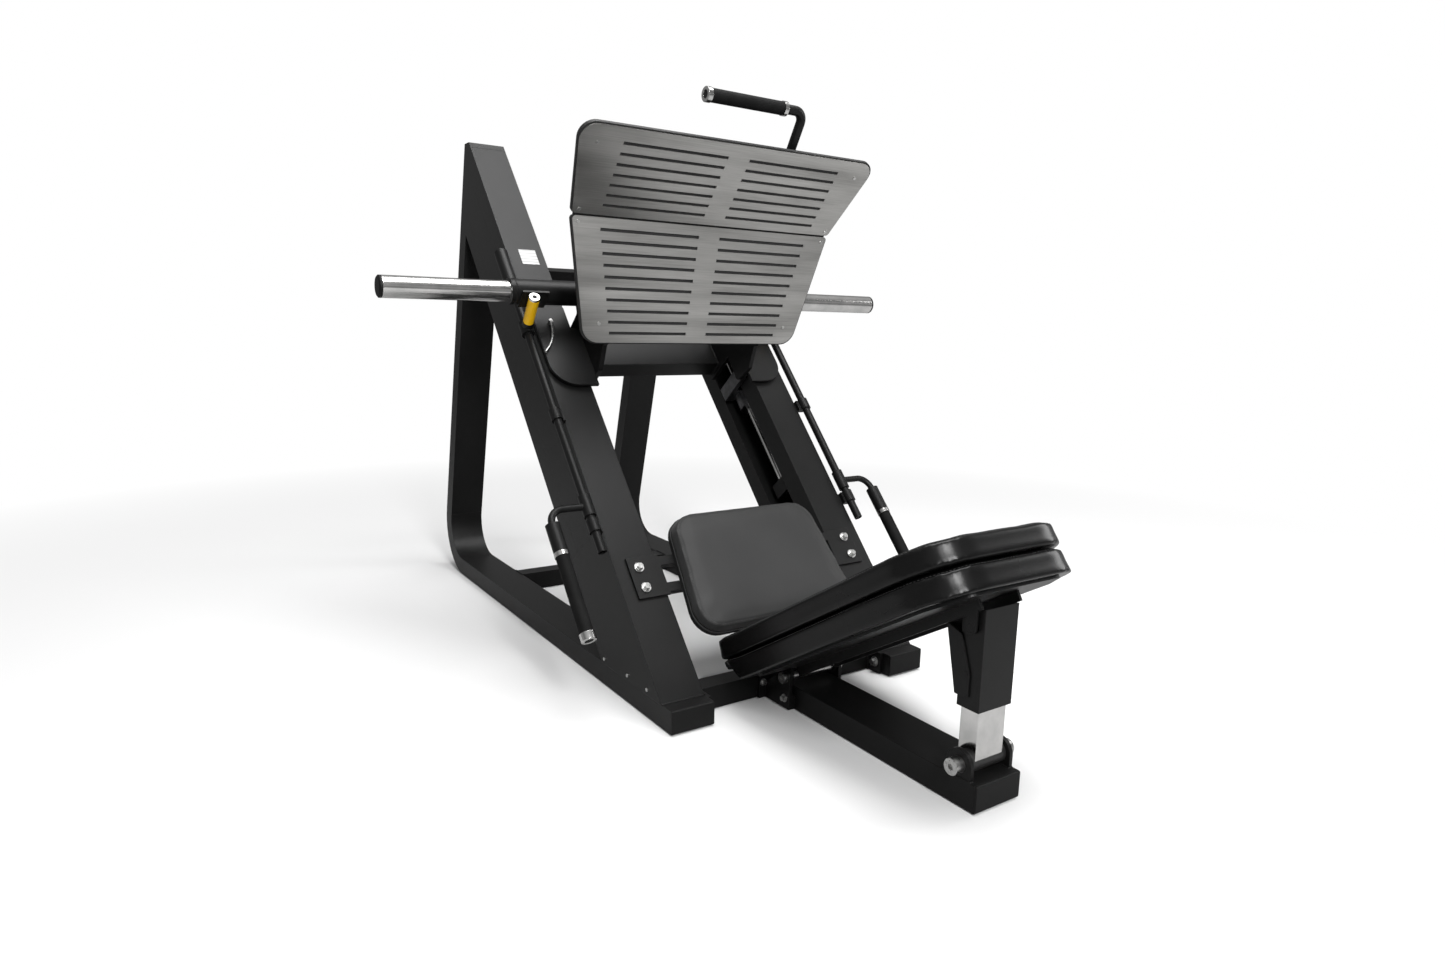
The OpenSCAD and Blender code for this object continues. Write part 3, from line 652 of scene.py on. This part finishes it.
def averaged(moves, pairs):
    """Each point's move averaged with its neighbours', which keeps edges but evens the swelling."""
    total = [move.copy() for move in moves]
    count = [1] * len(moves)
    for a, b in pairs:
        total[a] += moves[b]
        total[b] += moves[a]
        count[a] += 1
        count[b] += 1
    return [move / n for move, n in zip(total, count)]


def inflate(obj, board_z, swell):
    """Swells a closed pad by cloth pressure. Its board side is pinned; no move exceeds swell."""
    rest = [v.co.copy() for v in obj.data.vertices]
    board_side = obj.vertex_groups.new(name="board_side")
    board_side.add([v.index for v in obj.data.vertices if v.co.z < board_z + BOARD_SKIN],
                   1.0, "ADD")
    cloth = obj.modifiers.new("cloth", "CLOTH")
    skin = cloth.settings
    skin.quality = 5
    skin.mass = 0.3
    skin.tension_stiffness = 15
    skin.compression_stiffness = 15
    skin.shear_stiffness = 5
    skin.bending_stiffness = 0.5
    skin.use_pressure = True
    skin.uniform_pressure_force = 4
    skin.vertex_group_mass = "board_side"
    skin.effector_weights.gravity = 0
    cloth.collision_settings.use_collision = False
    cloth.point_cache.frame_start = 1
    cloth.point_cache.frame_end = SWELL_STEPS
    scene = bpy.context.scene
    for step in range(1, SWELL_STEPS + 1):
        scene.frame_set(step)
    swollen = applied(obj)
    obj.modifiers.clear()
    scene.frame_set(1)
    moves = [end.co - start for start, end in zip(rest, swollen.vertices)]
    moves = [move * min(1.0, swell / max(move.length, EPSILON)) for move in moves]
    pairs = [tuple(edge.vertices) for edge in obj.data.edges]
    for _ in range(EVENING_ROUNDS):
        moves = averaged(moves, pairs)
    for vertex, start, move in zip(obj.data.vertices, rest, moves):
        vertex.co = start + move
    bpy.data.meshes.remove(swollen)


def press_seam(mesh, path, depth, width):
    """Draws the skin in along a seam: path is a list of points on it."""
    tree = KDTree(len(path))
    for i, point in enumerate(path):
        tree.insert(point, i)
    tree.balance()
    normals = [vertex.normal.copy() for vertex in mesh.vertices]
    for vertex, normal in zip(mesh.vertices, normals):
        _, _, away = tree.find(vertex.co)
        if away < 3 * width:
            vertex.co -= normal * depth * math.exp(-(away / width) ** 2)


def stitches(name, pad, path, body, slot, pitch=7 * MM, length=4.4 * MM, thick=0.55 * MM):
    """A row of thread stitches that lie on the pad along a path given in the pad's own frame.

    Each lies STITCH_LIFT of its thickness over the skin, flat for STITCH_FLAT of its length, and
    dips into the skin at both ends, where it thins to STITCH_END.
    """
    spots = evenly(path, pitch)

    def build(bm):
        for i, spot in enumerate(spots):
            ahead = (spots[(i + 1) % len(spots)] - spots[i - 1]).normalized()
            found, at, normal, _ = pad.closest_point_on_mesh(spot)
            if not found:
                continue
            centre = at + normal * thick * STITCH_LIFT
            half = ahead * length / 2
            dip = normal * thick
            line = [centre - half - dip, centre - half * STITCH_FLAT,
                    centre + half * STITCH_FLAT, centre + half - dip]
            sweep(bm, line, lambda k: thick * (STITCH_END if k in (0, 3) else 1.0),
                  closed=False, sides=6)
        bmesh.ops.transform(bm, matrix=pad.matrix_world, verts=bm.verts)

    return add_piece(name, mesh_from(name, build), body, slot, THREAD)


def sewn_pad(name, node, body, slot, place, inset, swell, outline, seam_in):
    """A padded, sewn piece in place of a soft CAD solid.

    place is the pad's own frame: x across, y along, z out of the top face. The solid is made
    smaller by inset on each side of each axis, with its board side kept where it is, then swells
    by up to swell. outline(seam_in) is the plan of the seam.
    """
    mesh = NODES[node].data.copy()
    mesh.name = name
    mesh.transform(place.inverted())
    top = max(v.co.z for v in mesh.vertices)
    low = min(v.co.z for v in mesh.vertices)
    shrink_to_inner(mesh, inset)
    for v in mesh.vertices:
        v.co.z -= inset[2]
    pad = new_object(name, mesh)
    remesh = pad.modifiers.new("remesh", "REMESH")
    remesh.mode = "VOXEL"
    remesh.voxel_size = VOXEL
    mesh = with_modifiers_applied(pad)
    soften(mesh, 1)
    inflate(pad, low, swell)
    divide = pad.modifiers.new("divide", "SUBSURF")
    divide.levels = divide.render_levels = 1
    mesh = with_modifiers_applied(pad)
    seam = []
    for point in evenly([Vector((*p, top)) for p in outline(seam_in)], SEAM_PITCH):
        _, at, _, _ = pad.closest_point_on_mesh(point)
        seam.append(at)
    press_seam(mesh, seam, SEAM_DEPTH, SEAM_WIDTH)
    mesh.update()
    bpy.context.view_layer.update()
    pad.matrix_world = place
    bpy.context.view_layer.update()
    stitches(f"{name}_stitches", pad, seam, body, slot)
    mesh.transform(place)
    pad.matrix_world = Matrix.Identity(4)
    mesh.materials.clear()
    mesh.materials.append(MATERIALS[slot])
    for polygon in mesh.polygons:
        polygon.use_smooth = True
    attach(pad, body)
    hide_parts(node)
    return pad


def back_pads():
    """The two layers of the back rest, each with the head end's large round corners."""
    low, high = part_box("back_pad_top")
    corner = Vector((0, high.y, low.z + PAD_LAYER * math.cos(PAD_TILT)))
    half = (high.x - low.x) / 2
    length = max((p - corner).dot(ALONG) for p in solids("back_pad_top")[0])
    foot_radius = 36 * MM
    head_radius = 110 * MM

    def outline(inset):
        side, far = half - inset, length - inset
        return rounded_outline([(-side, inset), (side, inset), (side, far), (-side, far)],
                               [foot_radius] * 2 + [head_radius - inset] * 2)

    place = axes_matrix(corner, Vector((-1, 0, 0)), ALONG, OUT_OF_PAD)
    for layer in ("top", "base"):
        sewn_pad(f"back_cushion_{layer}", f"back_pad_{layer}", "back_rest", "back_vinyl", place,
                 inset=(3.5 * MM, 3.5 * MM, 1.5 * MM), swell=5 * MM, outline=outline,
                 seam_in=10 * MM)


def seat_cushion():
    """The seat's cushion, on the rails' slope."""
    up = Vector(JOINTS["carriage_slide"]["axis"]).normalized()
    out = Vector((0, -up.z, up.y))
    points = solids("seat_pad")[0]
    start = min(p.dot(up) for p in points)
    end = max(p.dot(up) for p in points)
    face = max(p.dot(out) for p in points)
    origin = up * start + out * face
    length = end - start
    low_half = 226 * MM
    head_half = 199 * MM
    corner_radius = 60 * MM

    def outline(inset):
        near, far = low_half - inset, head_half - inset
        return rounded_outline([(-near, inset), (near, inset), (far, length - inset),
                                (-far, length - inset)], [corner_radius - inset] * 4)

    place = axes_matrix(origin, Vector((1, 0, 0)), up, out)
    sewn_pad("seat_cushion", "seat_pad", "frame", "seat_vinyl", place,
             inset=(3.5 * MM, 3.5 * MM, 2 * MM), swell=6 * MM, outline=outline,
             seam_in=11 * MM)


# ---- Stage, light and camera ----

FLOOR_MELTS_FROM = 1.2
FLOOR_MELTS_TO = 3.2
FLOOR_REACH = 60.0


def camera_sees(nodes, links, seen, mirrored):
    """A shader that shows seen to the camera, and mirrored to every other ray."""
    choice = nodes.new("ShaderNodeMixShader")
    links.new(nodes.new("ShaderNodeLightPath").outputs["Is Camera Ray"], choice.inputs["Fac"])
    links.new(mirrored, choice.inputs[1])
    links.new(seen, choice.inputs[2])
    return choice.outputs["Shader"]


def floor_paint():
    """A pale matte floor round the machine that melts into the white of the backdrop.

    What the machine mirrors of it is a darker grey, as on a dark studio stage.
    """
    material, nodes, links, shader = new_material("floor_paint")
    shader.inputs["Base Color"].default_value = (0.8, 0.8, 0.8, 1)
    shader.inputs["Roughness"].default_value = 0.8
    radius = nodes.new("ShaderNodeVectorMath")
    radius.operation = "LENGTH"
    links.new(object_coordinates(nodes, links), radius.inputs[0])
    away = nodes.new("ShaderNodeMapRange")
    away.inputs["From Min"].default_value = FLOOR_MELTS_FROM
    away.inputs["From Max"].default_value = FLOOR_MELTS_TO
    links.new(radius.outputs["Value"], away.inputs["Value"])
    white = nodes.new("ShaderNodeEmission")
    grey = nodes.new("ShaderNodeBsdfDiffuse")
    grey.inputs["Color"].default_value = (0.42, 0.42, 0.42, 1)
    melt = nodes.new("ShaderNodeMixShader")
    links.new(away.outputs["Result"], melt.inputs["Fac"])
    links.new(shader.outputs["BSDF"], melt.inputs[1])
    links.new(white.outputs["Emission"], melt.inputs[2])
    links.new(camera_sees(nodes, links, melt.outputs["Shader"], grey.outputs["BSDF"]),
              nodes["Material Output"].inputs["Surface"])
    return material


def floor():
    signs = ((-1, -1), (1, -1), (1, 1), (-1, 1))
    mesh = bpy.data.meshes.new("floor")
    mesh.from_pydata([(x * FLOOR_REACH, y * FLOOR_REACH, 0) for x, y in signs], [], [(0, 1, 2, 3)])
    mesh.materials.append(floor_paint())
    obj = new_object("floor", mesh)


def softbox(name, place, target, size, power):
    light = bpy.data.lights.new(name, "AREA")
    light.shape = "RECTANGLE"
    light.size, light.size_y = size
    light.energy = power
    obj = new_object(name, light)
    obj.location = place
    obj.rotation_euler = (Vector(target) - Vector(place)).to_track_quat("-Z", "Y").to_euler()


def lights():
    centre = (0, 0, 0.6)
    softbox("key", (-1.0, -3.9, 2.8), centre, size=(0.7, 1.8), power=150)
    softbox("overhead", (0.2, -0.4, 3.8), centre, size=(2.4, 2.4), power=135)
    softbox("right_fill", (4.0, -1.6, 2.0), centre, size=(1.2, 2.0), power=40)


def world():
    """White behind the machine; what lights it is a dim room with a pale ceiling."""
    scene_world = bpy.data.worlds.new("studio")
    bpy.context.scene.world = scene_world
    scene_world.use_nodes = True
    nodes, links = scene_world.node_tree.nodes, scene_world.node_tree.links
    white = nodes["Background"]
    white.inputs["Color"].default_value = (1, 1, 1, 1)
    height = nodes.new("ShaderNodeSeparateXYZ")
    links.new(nodes.new("ShaderNodeTexCoord").outputs["Generated"], height.inputs[0])
    room = nodes.new("ShaderNodeBackground")
    links.new(colour_ramp(nodes, links, height.outputs["Z"],
                          [(0.0, 0.24), (0.1, 0.32), (0.45, 0.16), (1.0, 0.7)]),
              room.inputs["Color"])
    links.new(camera_sees(nodes, links, white.outputs["Background"], room.outputs["Background"]),
              nodes["World Output"].inputs["Surface"])


def camera():
    """The photographer's place: low at the head end, left of the machine."""
    eye = Vector((-1.196, -1.8892, 0.8174))
    yaw, pitch, roll = (math.radians(a) for a in (33.86, 10.2, -1.3))
    forward = Vector((math.sin(yaw) * math.cos(pitch), math.cos(yaw) * math.cos(pitch),
                      -math.sin(pitch)))
    level = Vector((math.cos(yaw), -math.sin(yaw), 0))
    down = forward.cross(level)
    right = math.cos(roll) * level + math.sin(roll) * down
    up = math.sin(roll) * level - math.cos(roll) * down
    data = bpy.data.cameras.new("camera")
    data.lens = 22.26
    data.sensor_width = 36
    obj = new_object("camera", data)
    obj.matrix_world = axes_matrix(eye, right, up, -forward)
    bpy.context.scene.camera = obj


camera()
finish_cad_nodes()
back_pads()
seat_cushion()
weld_frame()
weld_carriage()
turned_details()
floor()
lights()
world()
bpy.context.scene.view_settings.view_transform = "Standard"
